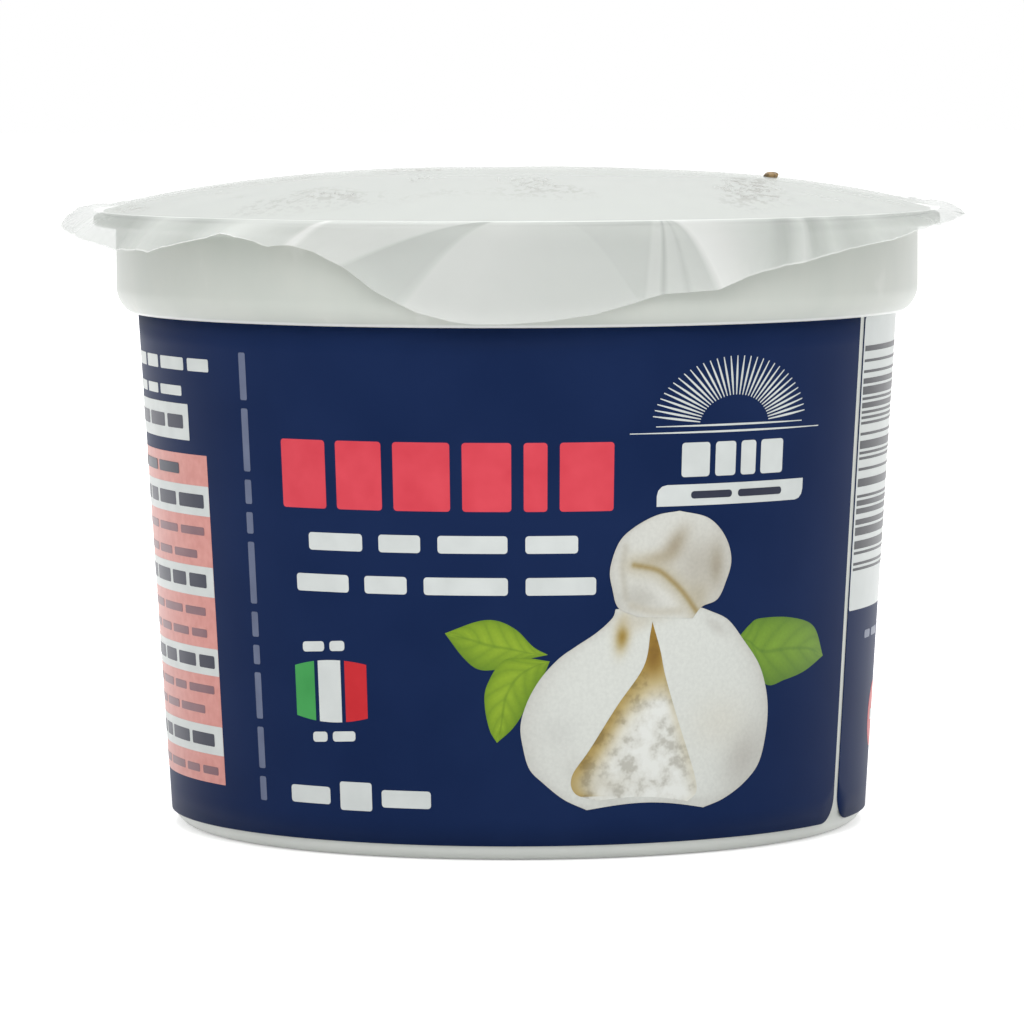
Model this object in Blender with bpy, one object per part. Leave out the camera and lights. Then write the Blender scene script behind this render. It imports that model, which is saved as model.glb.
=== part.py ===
"""A sealed round tub of burrata, standing upright: the filled tub, its wrap label and its lid film.

The tub is a moulded plastic cup with a flat sealing flange, a straight collar and a tapering
wall. It is shut and can't be seen into, so it is one solid. The label goes almost all the way
round the wall, in a shallow seat, and leaves one narrow upright gap. The lid film is sealed to
the flange and domed by the gas under it. Its cut edge hangs past the flange, and at the front
its pull tab is folded down over the collar.

Metres, +Z up. The origin is the centre of the base, and the pull tab faces -Y.
"""

import math

import bmesh
import bpy
import numpy as np

MM = 0.001

# Driving dimensions
FLANGE_DIAMETER = 95.0 * MM
COLLAR_DIAMETER = 90.0 * MM
TUB_HEIGHT = 68.5 * MM
FILM_HEIGHT = 73.5 * MM
WALL_FOOT_RADIUS = 39.05 * MM
WALL_TAPER = math.radians(3.51)
LABEL_TOP = 57.3 * MM
LABEL_BOTTOM = 1.8 * MM
LABEL_GAP_AZIMUTH = math.radians(62.9)
LABEL_GAP_WIDTH = 1.1 * MM

# Tub details
FLANGE_THICKNESS = 1.2 * MM
FLANGE_EDGE_ROUND = 0.5 * MM
COLLAR_FOOT_ROUND = 3.2 * MM
COLLAR_FOOT_CENTRE_HEIGHT = 60.4 * MM
BASE_ROUND = 2.4 * MM
FOOT_RING_INNER_RADIUS = 33.8 * MM
BASE_RECESS = 0.8 * MM
TUB_SIDES = 80

# Label details
LABEL_THICKNESS = 0.3 * MM
LABEL_CORNER_RADIUS = 3.0 * MM
LABEL_COLUMNS = 72
CORNER_COLUMNS = 5
GAP = 0.3 * MM

# Film details. The cut edge is uneven: each row gives the azimuth in degrees from the front,
# positive towards +X, with the radius and the height of the edge there in millimetres.
FILM_RIM_TOP = 69.1 * MM
DOME_POWER = 2.8
SKIRT_THICKNESS = 0.35 * MM
SKIRT_REACH = 2.1 * MM
SKIRT_BEND_DROP = 0.2 * MM
FILM_SIDES = 96
DOME_RINGS = (0.16, 0.34, 0.52, 0.68, 0.82, 0.93, 1.0)
SKIRT_STEPS = 5
CUT_EDGE = (
    (-180, 49.5, 67.3),
    (-135, 50.2, 66.9),
    (-90, 51.3, 67.3),
    (-72, 50.5, 66.2),
    (-57, 50.0, 65.3),
    (-39, 50.0, 67.5),
    (-30, 48.2, 66.4),
    (-22, 47.2, 63.7),
    (-9, 46.2, 58.4),
    (4, 46.2, 58.3),
    (19, 46.5, 61.2),
    (28, 47.0, 61.6),
    (44, 48.6, 65.1),
    (60, 50.0, 67.2),
    (80, 50.4, 68.4),
    (135, 50.2, 67.3),
)


def clear_scene():
    """Remove the objects that the scene starts with."""
    for old in list(bpy.data.objects):
        bpy.data.objects.remove(old, do_unlink=True)


def make_material(name, colour, roughness, alpha=1.0):
    """A Principled plastic of one colour."""
    material = bpy.data.materials.new(name)
    material.use_nodes = True
    shader = material.node_tree.nodes["Principled BSDF"]
    shader.inputs["Base Color"].default_value = (*colour, 1.0)
    shader.inputs["Roughness"].default_value = roughness
    shader.inputs["Metallic"].default_value = 0.0
    shader.inputs["Alpha"].default_value = alpha
    return material


def add_object(name, mesh, material):
    """Put a finished mesh in the scene under its node's name."""
    mesh.materials.append(material)
    mesh.shade_smooth()
    mesh.set_sharp_from_angle(angle=math.radians(35))
    piece = bpy.data.objects.new(name, mesh)
    bpy.context.scene.collection.objects.link(piece)
    return piece


def arc(centre_radius, centre_height, radius, start_deg, end_deg, steps):
    """Points (radius, height) along an arc of a turned profile, both ends included."""
    angles = np.radians(np.linspace(start_deg, end_deg, steps))
    return [(centre_radius + radius * math.cos(a), centre_height + radius * math.sin(a)) for a in angles]


def wall_radius(height):
    """Outer radius of the tapering wall, where the label's face is flush with it."""
    return WALL_FOOT_RADIUS + height * math.tan(WALL_TAPER)


def round_the_axis(azimuth, radius, height):
    """World point at an azimuth from the front, positive towards +X."""
    return np.stack(
        np.broadcast_arrays(radius * np.sin(azimuth), -radius * np.cos(azimuth), height), axis=-1
    )


def tub_profile():
    """The tub's half outline from the top centre, down its outside, to the base centre."""
    flange_radius = FLANGE_DIAMETER / 2
    flange_foot = TUB_HEIGHT - FLANGE_THICKNESS
    collar_radius = COLLAR_DIAMETER / 2
    seat_top = LABEL_TOP + GAP
    seat_bottom = LABEL_BOTTOM - GAP
    seat_depth = LABEL_THICKNESS + GAP
    base_centre_radius = wall_radius(0) - BASE_ROUND

    points = [(0.0, TUB_HEIGHT)]
    points += arc(
        flange_radius - FLANGE_EDGE_ROUND, TUB_HEIGHT - FLANGE_EDGE_ROUND, FLANGE_EDGE_ROUND, 90, 0, 4
    )
    points += [
        (flange_radius, flange_foot),
        (collar_radius, flange_foot),
    ]
    points += arc(
        collar_radius - COLLAR_FOOT_ROUND, COLLAR_FOOT_CENTRE_HEIGHT, COLLAR_FOOT_ROUND, 0, -61, 7
    )
    points += [
        (wall_radius(seat_top), seat_top),
        (wall_radius(seat_top) - seat_depth, seat_top),
        (wall_radius(seat_bottom) - seat_depth, seat_bottom),
    ]
    points += arc(base_centre_radius, BASE_ROUND, BASE_ROUND, -23, -90, 6)
    points += [
        (FOOT_RING_INNER_RADIUS, 0.0),
        (FOOT_RING_INNER_RADIUS - BASE_RECESS, BASE_RECESS),
        (0.0, BASE_RECESS),
    ]
    return points


def build_tub(material):
    """The cup: its half outline turned about the upright axis."""
    points = [(radius, 0.0, height) for radius, height in tub_profile()]
    edges = [(i, i + 1) for i in range(len(points) - 1)]
    mesh = bpy.data.meshes.new("tub")
    mesh.from_pydata(points, edges, [])
    tub = add_object("tub", mesh, material)
    turn = tub.modifiers.new("Turn", "SCREW")
    turn.axis = "Z"
    turn.steps = TUB_SIDES
    turn.render_steps = TUB_SIDES
    turn.use_merge_vertices = True
    turn.merge_threshold = 0.01 * MM
    turn.use_smooth_shade = True
    return tub


def label_columns():
    """Azimuths of the label's columns, from one upright edge round to the other, and how far
    in each column is from the nearer edge. They are closer together at the rounded corners."""
    middle_radius = wall_radius((LABEL_TOP + LABEL_BOTTOM) / 2)
    half_gap = LABEL_GAP_WIDTH / 2 / middle_radius
    corner = LABEL_CORNER_RADIUS / middle_radius
    turned = np.sin(np.linspace(0, math.pi / 2, CORNER_COLUMNS, endpoint=False))
    near = half_gap + corner * (1 - np.sqrt(1 - turned**2))
    far = 2 * math.pi - near[::-1]
    long_run = np.linspace(half_gap + corner, 2 * math.pi - half_gap - corner, LABEL_COLUMNS)
    round_from_gap = np.concatenate([near, long_run, far])
    inset = np.minimum(round_from_gap, 2 * math.pi - round_from_gap) - half_gap
    return LABEL_GAP_AZIMUTH + round_from_gap, inset * middle_radius


def build_label(material):
    """The wrap label: a cone-shaped strip with rounded lower corners and square upper ones."""
    azimuth, inset = label_columns()
    inside_corner = np.clip(LABEL_CORNER_RADIUS - inset, 0, LABEL_CORNER_RADIUS)
    rise = LABEL_CORNER_RADIUS - np.sqrt(LABEL_CORNER_RADIUS**2 - inside_corner**2)
    foot = LABEL_BOTTOM + rise
    lower = round_the_axis(azimuth, wall_radius(foot), foot)
    upper = round_the_axis(azimuth, wall_radius(LABEL_TOP), LABEL_TOP)

    shape = bmesh.new()
    lower_points = [shape.verts.new(p) for p in lower]
    upper_points = [shape.verts.new(p) for p in upper]
    for i in range(len(azimuth) - 1):
        shape.faces.new((lower_points[i], lower_points[i + 1], upper_points[i + 1], upper_points[i]))
    mesh = bpy.data.meshes.new("label")
    shape.to_mesh(mesh)
    shape.free()
    label = add_object("label", mesh, material)
    wall = label.modifiers.new("Thickness", "SOLIDIFY")
    wall.thickness = LABEL_THICKNESS
    wall.offset = -1.0
    wall.use_even_offset = True
    return label


def dome_height(share):
    """Height of the film's top face at a share of the flange's radius."""
    return FILM_RIM_TOP + (FILM_HEIGHT - FILM_RIM_TOP) * (1 - share**DOME_POWER)


def skirt_profile(edge_radius, edge_height):
    """The hanging film's outer line at every azimuth, as (radius, height) arrays of shape
    (steps, azimuths): a curve that leaves the rim almost level and bends down to the edge."""
    rim = FLANGE_DIAMETER / 2
    step = np.linspace(0, 1, SKIRT_STEPS + 1)[1:, None]
    start, middle, end = (1 - step) ** 2, 2 * step * (1 - step), step**2
    radius = start * rim + middle * (rim + SKIRT_REACH) + end * edge_radius
    height = start * FILM_RIM_TOP + middle * (FILM_RIM_TOP - SKIRT_BEND_DROP) + end * edge_height
    return radius, height


def inner_face(radius, height):
    """The line one film thickness inside an outer line of the skirt."""
    rim = FLANGE_DIAMETER / 2
    start = np.full((1, radius.shape[1]), rim)
    along_r = np.gradient(np.vstack([start, radius]), axis=0)[1:]
    along_z = np.gradient(np.vstack([start * 0 + FILM_RIM_TOP, height]), axis=0)[1:]
    length = np.hypot(along_r, along_z)
    return radius + SKIRT_THICKNESS * along_z / length, height - SKIRT_THICKNESS * along_r / length


def film_rings():
    """Rings of points down the outside of the film, from near the crest of the dome to the cut
    edge, and back up its inside to the flat face over the flange."""
    azimuth = np.arange(FILM_SIDES) * (2 * math.pi / FILM_SIDES)
    knots = np.array(CUT_EDGE)
    degrees = np.degrees(azimuth)
    edge_radius = np.interp(degrees, knots[:, 0], knots[:, 1], period=360) * MM
    edge_height = np.interp(degrees, knots[:, 0], knots[:, 2], period=360) * MM
    radius, height = skirt_profile(edge_radius, edge_height)
    inner_radius, inner_height = inner_face(radius, height)

    rim = FLANGE_DIAMETER / 2
    seal = TUB_HEIGHT + GAP
    rings = [round_the_axis(azimuth, rim * share, dome_height(share)) for share in DOME_RINGS]
    rings += [round_the_axis(azimuth, r, z) for r, z in zip(radius, height)]
    rings += [round_the_axis(azimuth, r, z) for r, z in zip(inner_radius[:0:-1], inner_height[:0:-1])]
    rings += [round_the_axis(azimuth, rim + GAP, seal), round_the_axis(azimuth, rim / 2, seal)]
    return rings


def build_film(material):
    """The lid film with the sealed space under its dome, as one closed solid."""
    shape = bmesh.new()
    rings = [[shape.verts.new(p) for p in ring] for ring in film_rings()]
    crest = shape.verts.new((0, 0, FILM_HEIGHT))
    underside = shape.verts.new((0, 0, TUB_HEIGHT + GAP))
    for i in range(FILM_SIDES):
        j = (i + 1) % FILM_SIDES
        shape.faces.new((crest, rings[0][i], rings[0][j]))
        shape.faces.new((underside, rings[-1][j], rings[-1][i]))
        for upper, lower in zip(rings, rings[1:]):
            shape.faces.new((upper[i], lower[i], lower[j], upper[j]))
    mesh = bpy.data.meshes.new("lid_film")
    shape.to_mesh(mesh)
    shape.free()
    return add_object("lid_film", mesh, material)


clear_scene()
build_tub(make_material("natural_plastic", (0.58, 0.63, 0.56), 0.4))
build_label(make_material("navy_label", (0.014, 0.021, 0.08), 0.45))
build_film(make_material("clear_film", (0.72, 0.76, 0.74), 0.2, alpha=0.6))
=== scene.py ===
"""Looks of a sealed tub of burrata: a moulded tub, its printed wrap label and its lid film."""
import math

import bpy
import numpy as np
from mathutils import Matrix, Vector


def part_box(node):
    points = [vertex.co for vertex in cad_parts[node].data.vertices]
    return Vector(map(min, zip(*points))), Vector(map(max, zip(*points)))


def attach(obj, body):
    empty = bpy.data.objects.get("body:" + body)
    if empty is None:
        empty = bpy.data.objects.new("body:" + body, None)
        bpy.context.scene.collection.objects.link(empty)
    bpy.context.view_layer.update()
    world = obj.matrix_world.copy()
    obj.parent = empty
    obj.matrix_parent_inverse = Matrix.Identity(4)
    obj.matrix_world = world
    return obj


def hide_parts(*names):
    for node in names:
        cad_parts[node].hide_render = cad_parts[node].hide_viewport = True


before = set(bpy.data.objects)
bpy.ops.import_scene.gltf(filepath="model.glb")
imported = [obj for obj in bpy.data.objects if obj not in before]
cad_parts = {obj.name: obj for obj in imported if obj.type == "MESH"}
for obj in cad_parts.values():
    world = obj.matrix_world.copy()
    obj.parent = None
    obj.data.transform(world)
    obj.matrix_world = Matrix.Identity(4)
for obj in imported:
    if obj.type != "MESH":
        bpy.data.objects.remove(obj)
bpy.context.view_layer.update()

MM = 0.001

# ---------------------------------------------------------------------------------------------
# The tub: a thin natural polypropylene cup, injection moulded and slightly cloudy, so the whey
# behind it shows pale grey-green. It has a flat flange, a straight collar with a rounded foot, a
# tapering wall that the label lies on, and a rounded base on a foot ring.
# ---------------------------------------------------------------------------------------------
_, tub_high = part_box("tub")
RIM_RADIUS = tub_high.x / MM
RIM_HEIGHT = tub_high.z / MM
FLANGE_THICKNESS = 1.2
COLLAR_RADIUS = 45.0
COLLAR_FOOT = (41.8, 60.4, 3.2)
WALL_FOOT_RADIUS = 39.05
WALL_TAPER = 0.0614
WALL_TOP = 57.6
BASE_ROUND = 2.4
FOOT_RING_RADIUS = 33.8
BASE_RECESS = 0.8
LABEL_DEPTH = 0.1


def wall_radius(height):
    """The wall is a cone: its radius grows in proportion to the height. Millimetres."""
    return WALL_FOOT_RADIUS + WALL_TAPER * height


def arc(centre, start, end, steps):
    """Points on a circle of centre (radius, height, size) between two angles in degrees."""
    angle = np.radians(np.linspace(start, end, steps))
    return np.stack([centre[0] + centre[2] * np.cos(angle), centre[1] + centre[2] * np.sin(angle)], 1)


def line(start, end, steps):
    """Points evenly spaced from one end of a straight stretch to the other."""
    share = np.linspace(0, 1, steps)[:, None]
    return np.array(start) * (1 - share) + np.array(end) * share


def round_axis(azimuth, radius, height):
    """A point turned round the upright axis: azimuth is measured from -Y towards +X."""
    return np.stack(np.broadcast_arrays(radius * np.sin(azimuth), -radius * np.cos(azimuth), height), -1)


def grid_faces(rows, columns, closed=False):
    """Four corners of every cell of a grid of points, joined to its own start if closed."""
    row = np.arange(rows - 1)[:, None] * columns
    column = np.arange(columns if closed else columns - 1)[None, :]
    following = (column + 1) % columns
    cells = (row + column, row + following, row + columns + following, row + columns + column)
    return np.stack(np.broadcast_arrays(*cells), -1).reshape(-1, 4)


def make_mesh(name, points, faces, material, slot):
    """A finished piece from points in millimetres, at the origin, riding on the one body."""
    mesh = bpy.data.meshes.new(name)
    mesh.from_pydata((np.asarray(points).reshape(-1, 3) * MM).tolist(), [], [tuple(f) for f in faces])
    mesh.validate()
    mesh.polygons.foreach_set("use_smooth", [True] * len(mesh.polygons))
    mesh.materials.append(material)
    piece = bpy.data.objects.new(name, mesh)
    bpy.context.scene.collection.objects.link(piece)
    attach(piece, "root")
    return piece


def turned(profile, columns):
    """A profile of (radius, height) turned once round the axis, with its two ends closed by a
    fan to a point on the axis."""
    azimuth = np.linspace(0, 2 * math.pi, columns, endpoint=False)
    rings = round_axis(azimuth[None, :], profile[:, :1], profile[:, 1:])
    poles = np.array([[0, 0, profile[0, 1]], [0, 0, profile[-1, 1]]])
    points = np.vstack([rings.reshape(-1, 3), poles])
    first = np.arange(columns)
    second = (first + 1) % columns
    last = (len(profile) - 1) * columns
    top = np.stack([second, np.full(columns, len(points) - 2), first], 1)
    bottom = np.stack([first + last, np.full(columns, len(points) - 1), second + last], 1)
    body = grid_faces(len(profile), columns, closed=True)[:, ::-1]
    return points, [*map(tuple, body), *map(tuple, top), *map(tuple, bottom)]


def linear(red, green, blue):
    """A colour given as it looks on a screen, 0 to 255, as the linear values a shader takes."""
    share = np.array([red, green, blue]) / 255
    return tuple(np.where(share <= 0.04045, share / 12.92, ((share + 0.055) / 1.055) ** 2.4)) + (1.0,)


def new_material(name, roughness, specular):
    """A material with its node tree and its Principled shader, of one roughness and gloss."""
    material = bpy.data.materials.new(name)
    material.use_nodes = True
    shader = material.node_tree.nodes["Principled BSDF"]
    shader.inputs["Roughness"].default_value = roughness
    shader.inputs["Specular IOR Level"].default_value = specular
    return material, material.node_tree, shader


def add_node(tree, kind, inputs=None, **settings):
    """A node of one kind with its settings and, by socket, its values."""
    node = tree.nodes.new(kind)
    for name, value in settings.items():
        setattr(node, name, value)
    for socket, value in (inputs or {}).items():
        node.inputs[socket].default_value = value
    return node


def object_noise(tree, scale, detail, stretch=(1, 1, 1), rough=0.5):
    """Soft noise in the piece's own coordinates, stretched along the axes."""
    where = add_node(tree, "ShaderNodeTexCoord")
    mapping = add_node(tree, "ShaderNodeMapping", inputs={"Scale": stretch})
    noise = add_node(tree, "ShaderNodeTexNoise",
                     inputs={"Scale": scale, "Detail": detail, "Roughness": rough})
    tree.links.new(where.outputs["Object"], mapping.inputs["Vector"])
    tree.links.new(mapping.outputs["Vector"], noise.inputs["Vector"])
    return noise.outputs["Fac"]


def ramp(tree, source, stops):
    """A colour ramp over a value: stops are (place, colour)."""
    node = add_node(tree, "ShaderNodeValToRGB")
    points = node.color_ramp.elements
    while len(points) < len(stops):
        points.new(0.5)
    for point, (place, colour) in zip(points, stops):
        point.position = place
        point.color = colour
    tree.links.new(source, node.inputs["Fac"])
    return node.outputs["Color"]


plastic, tree, shader = new_material("natural_plastic", 0.36, 0.3)
cloudy = ramp(tree, object_noise(tree, 160, 3, (1, 1, 0.6)), [
    (0.35, linear(198, 203, 196)), (0.62, linear(202, 206, 199)), (0.7, linear(211, 214, 208))])
where = add_node(tree, "ShaderNodeTexCoord")
upright = add_node(tree, "ShaderNodeSeparateXYZ")
tree.links.new(where.outputs["Object"], upright.inputs["Vector"])
# Painted highlight: a thin light band at the top of the wall, just under the collar, stands for the light
# its curved underside catches.
level = add_node(tree, "ShaderNodeMapRange", inputs={
    "From Min": (WALL_TOP - 0.5) * MM, "From Max": (WALL_TOP + 0.5) * MM})
tree.links.new(upright.outputs["Z"], level.inputs["Value"])
painted_collar_highlight = ramp(tree, level.outputs["Result"], [
    (0.3, (0, 0, 0, 1)), (0.4, (0.8, 0.8, 0.8, 1)), (0.7, (0.8, 0.8, 0.8, 1)), (0.9, (0, 0, 0, 1))])
# Painted glow: the rounded base is lightened towards the bottom, standing for light glowing through the
# thicker plastic there. Both painted lights are mixed in as a pale colour over the plastic.
foot = add_node(tree, "ShaderNodeMapRange", inputs={
    "From Min": 2.4 * MM, "From Max": 1.4 * MM, "To Max": 0.4})
tree.links.new(upright.outputs["Z"], foot.inputs["Value"])
painted_light_bands = add_node(tree, "ShaderNodeMath", operation="MAXIMUM")
tree.links.new(painted_collar_highlight, painted_light_bands.inputs[0])
tree.links.new(foot.outputs["Result"], painted_light_bands.inputs[1])
painted_light_mix = add_node(tree, "ShaderNodeMix", data_type="RGBA", inputs={7: linear(244, 246, 243)})
tree.links.new(painted_light_bands.outputs[0], painted_light_mix.inputs["Factor"])
tree.links.new(cloudy, painted_light_mix.inputs[6])
tree.links.new(painted_light_mix.outputs[2], shader.inputs["Base Color"])
shader.inputs["Subsurface Weight"].default_value = 0.15
shader.inputs["Subsurface Radius"].default_value = (1.0, 1.0, 0.9)
shader.inputs["Subsurface Scale"].default_value = 0.002

flange_foot = RIM_HEIGHT - FLANGE_THICKNESS
foot_centre = wall_radius(0) - BASE_ROUND
tub_profile = np.vstack([
    line((2.0, RIM_HEIGHT), (RIM_RADIUS - 0.6, RIM_HEIGHT), 14),
    arc((RIM_RADIUS - 0.4, RIM_HEIGHT - 0.4, 0.4), 90, 0, 6),
    arc((RIM_RADIUS - 0.3, flange_foot + 0.3, 0.3), 0, -90, 5),
    arc((COLLAR_RADIUS + 0.4, flange_foot - 0.4, 0.4), 90, 180, 5),
    line((COLLAR_RADIUS, flange_foot - 0.8), (COLLAR_RADIUS, COLLAR_FOOT[1] + 0.2), 8),
    arc(COLLAR_FOOT, 0, -61, 14),
    line((wall_radius(WALL_TOP) - LABEL_DEPTH, WALL_TOP), (wall_radius(3) - LABEL_DEPTH, 3), 24),
    arc((foot_centre - LABEL_DEPTH, BASE_ROUND, BASE_ROUND), 0, -90, 12),
    line((foot_centre - 1.0, 0), (FOOT_RING_RADIUS, 0), 4),
    line((FOOT_RING_RADIUS - BASE_RECESS, BASE_RECESS), (2.0, BASE_RECESS), 10),
])
tub = make_mesh("tub_shell", *turned(tub_profile, 288), plastic, "natural_plastic")
tub.data.set_sharp_from_angle(angle=math.radians(40))
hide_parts("tub")

# ---------------------------------------------------------------------------------------------
# The wrap label: a satin plastic label moulded on to the wall, navy all over. Its two ends stop
# either side of a narrow upright gap where the bare tub shows, and their lower corners are
# rounded. It is 0.1 mm thick, with its face flush with the wall.
# ---------------------------------------------------------------------------------------------
LABEL_TOP = WALL_TOP - 0.05
LABEL_FOOT = 1.75
GAP_AZIMUTH = 62.9
GAP_WIDTH = 1.1
LABEL_CORNER = 3.0
REFERENCE_RADIUS = 41.0


def on_wall(along, height, lift=0.0):
    """Label millimetres to the wall: along is arc length at a radius of 41 mm, counted from
    the front towards +X, and lift is the distance off the wall's surface."""
    return round_axis(np.asarray(along) / REFERENCE_RADIUS, wall_radius(height) + lift, height)


def degrees_along(azimuth):
    """Arc length on the label for an azimuth in degrees."""
    return math.radians(azimuth) * REFERENCE_RADIUS


def satin(name, low, high, scale=90, roughness=0.36, gloss=0.15):
    """Satin ink on plastic: two near tones in soft patches."""
    material, tree, shader = new_material(name, roughness, gloss)
    tone = ramp(tree, object_noise(tree, scale, 2), [(0.3, linear(*low)), (0.7, linear(*high))])
    tree.links.new(tone, shader.inputs["Base Color"])
    return material


navy = satin("navy_ink", (20, 37, 74), (24, 41, 79), 90, 0.42, 0.03)
gap_along = degrees_along(GAP_AZIMUTH)
around = 2 * math.pi * REFERENCE_RADIUS
corner_steps = LABEL_CORNER * (1 - np.cos(np.linspace(0, math.pi / 2, 12)))
from_gap = GAP_WIDTH / 2 + np.concatenate([
    corner_steps,
    np.linspace(LABEL_CORNER, around - GAP_WIDTH - LABEL_CORNER, 360)[1:-1],
    around - GAP_WIDTH - corner_steps[::-1],
])
end_inset = np.minimum(from_gap, around - from_gap) - GAP_WIDTH / 2
in_corner = np.clip(LABEL_CORNER - end_inset, 0, LABEL_CORNER)
foot_line = LABEL_FOOT + LABEL_CORNER - np.sqrt(LABEL_CORNER**2 - in_corner**2)
label_rows = np.linspace(0, 1, 20)[:, None]
label_height = foot_line * (1 - label_rows) + LABEL_TOP * label_rows
label = make_mesh("wrap_label", on_wall(gap_along + from_gap, label_height),
                  grid_faces(*label_height.shape), navy, "label_print")
thickness = label.modifiers.new("thickness", "SOLIDIFY")
thickness.thickness = (LABEL_DEPTH - 0.01) * MM
thickness.offset = -1
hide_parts("label")

# ---------------------------------------------------------------------------------------------
# The title line and the two lines under it: printed on the label's face in coral and in white.
# The words are left out: plain blocks hold the place of each one.
# ---------------------------------------------------------------------------------------------
INK_THICKNESS = 0.02


def block(left, right, low, high, corner=0.3):
    """A block with rounded corners: two rows of points along its foot and its head, which close
    in by a quarter circle at each end."""
    width = right - left
    corner = min(corner, width / 2, (high - low) / 2)
    turn = corner * (1 - np.cos(np.linspace(0, math.pi / 2, 4)))
    middle = np.linspace(corner, width - corner, max(2, int(width / 0.9) + 1))
    across = np.concatenate([turn[:-1], middle, width - turn[-2::-1]])
    short = corner - np.clip(np.minimum(across, width - across), 0, corner)
    inset = corner - np.sqrt(np.clip(corner**2 - short**2, 0, None))
    return np.stack([np.stack([left + across, low + inset], 1), np.stack([left + across, high - inset], 1)])


def print_patches(name, patches, material, lift=0.02):
    """Ink lying on the label: each patch is a grid of (along, height) points, turned the same
    way round, carried on to the wall and given the ink's thickness."""
    points, faces, count = [], [], 0
    for patch in patches:
        middle = patch[:, patch.shape[1] // 2], patch[patch.shape[0] // 2]
        steps_u, steps_v = middle[0][-1] - middle[0][0], middle[1][-1] - middle[1][0]
        if steps_v[0] * steps_u[1] - steps_v[1] * steps_u[0] < 0:
            patch = patch[::-1]
        points.append(on_wall(patch[..., 0], patch[..., 1], lift).reshape(-1, 3))
        faces.append(grid_faces(*patch.shape[:2]) + count)
        count += patch.shape[0] * patch.shape[1]
    piece = make_mesh(name, np.vstack(points), np.vstack(faces), material, "label_print")
    ink = piece.modifiers.new("ink", "SOLIDIFY")
    ink.thickness = (INK_THICKNESS - 0.005) * MM
    ink.offset = -1
    edges = piece.modifiers.new("edges", "EDGE_SPLIT")
    edges.split_angle = math.radians(40)
    return piece


def word_blocks(left, right, low, high, lengths, gap):
    """A line of words as blocks: the lengths are shares of the line, with even gaps between."""
    shares = np.array(lengths) / sum(lengths) * (right - left - gap * (len(lengths) - 1))
    starts = left + np.concatenate([[0], np.cumsum(shares + gap)[:-1]])
    return [block(start, start + share, low, high, 0.35) for start, share in zip(starts, shares)]


coral = satin("coral_ink", (208, 62, 76), (217, 72, 85), 300)
white_ink = satin("white_ink", (203, 208, 206), (212, 217, 215), 300)
print_patches("title_blocks", word_blocks(-26.9, 10.2, 37.9, 45.3, (5.6, 5.3, 6.2, 5.2, 2.5, 5.8), 1.3),
              coral)
print_patches("line_blocks", [
    *word_blocks(-23.7, 6.4, 33.4, 35.3, (7, 5, 8, 6), 1.9),
    *word_blocks(-25.5, 8.4, 28.9, 30.8, (6.5, 4.8, 9, 7.5), 1.9)], white_ink)

# ---------------------------------------------------------------------------------------------
# The small print at the label's left: three upright bands of colour as on a barrel, with short
# slanted lines over and under them, the weight line at the foot, and one long thin upright line.
# ---------------------------------------------------------------------------------------------


def band(left, right, steps, low_curve, high_curve):
    """A band between two curves of the arc length."""
    across = np.linspace(left, right, steps)
    return np.stack([np.stack([across, low_curve(across)], 1), np.stack([across, high_curve(across)], 1)])


def barrel_low(across):
    """The bands' foot: a shallow bow that sinks in the middle."""
    return 14.7 + 0.028 * (across + 21.8) ** 2


def barrel_high(across):
    """The bands' head: a shallow bow that rises in the middle."""
    return 21.5 - 0.026 * (across + 20.8) ** 2


green_ink = satin("green_ink", (58, 146, 74), (66, 156, 82), 300)
red_ink = satin("red_ink", (190, 34, 42), (200, 42, 50), 300)
print_patches("green_band", [band(-26.3, -23.7, 6, barrel_low, barrel_high)], green_ink)
print_patches("white_band", [band(-23.2, -20.3, 6, barrel_low, barrel_high)], white_ink)
print_patches("red_band", [band(-19.8, -17.1, 6, barrel_low, barrel_high)], red_ink)


def slanted(patches, slope, origin):
    """Raises each point in proportion to its distance from where the line starts."""
    return [patch + np.stack([np.zeros(patch.shape[:2]), slope * (patch[..., 0] - origin)], -1)
            for patch in patches]


small_lines = [
    *slanted(word_blocks(-25.1, -19.7, 22.4, 23.5, (3, 2), 0.7), 0.06, -22.4),
    *slanted(word_blocks(-24.2, -18.7, 12.6, 13.7, (2, 3), 0.7), 0.06, -21.5),
    *word_blocks(-27.6, -22.2, 5.7, 7.6, (1,), 0.5),
    block(-20.9, -16.9, 5.2, 8.3),
    *word_blocks(-15.7, -9.9, 5.7, 7.6, (1,), 0.5),
]
print_patches("small_lines", small_lines, white_ink)

rng = np.random.default_rng(11)
lengths = rng.uniform(1.8, 6.5, 10)
thin_gaps = 0.9
shares = lengths / lengths.sum() * (54.4 - 5.5 - thin_gaps * 9)
starts = 5.5 + np.concatenate([[0], np.cumsum(shares + thin_gaps)[:-1]])
pale_ink = satin("pale_ink", (92, 101, 126), (104, 113, 138), 300)
print_patches("upright_line", [block(-32.5, -31.5, start, start + share, 0.2)
                               for start, share in zip(starts, shares)], pale_ink)

# ---------------------------------------------------------------------------------------------
# The mark at the upper right: a plain fan of fine strokes over a short row of blocks and a white
# plate with two rounded corners.
# ---------------------------------------------------------------------------------------------
MARK_MIDDLE = degrees_along(33.9)
FAN_FOOT = 46.6
FAN_INNER, FAN_OUTER = 3.4, 7.6
FAN_STRETCH = 1.32


def stroke(start, end, width, bow=0.0, steps=8):
    """A fine stroke from one point to another, bowed sideways by a half sine, and thinning to
    its ends."""
    start, end = np.array(start), np.array(end)
    share = np.linspace(0, 1, steps)[:, None]
    side = np.array([-(end - start)[1], (end - start)[0]]) / np.linalg.norm(end - start)
    middle = start * (1 - share) + end * share + side * bow * np.sin(math.pi * share)
    half = side * width / 2 * (0.35 + 0.65 * np.sin(math.pi * np.clip(share, 0.05, 0.95)))
    return np.stack([middle - half, middle + half])


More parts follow.
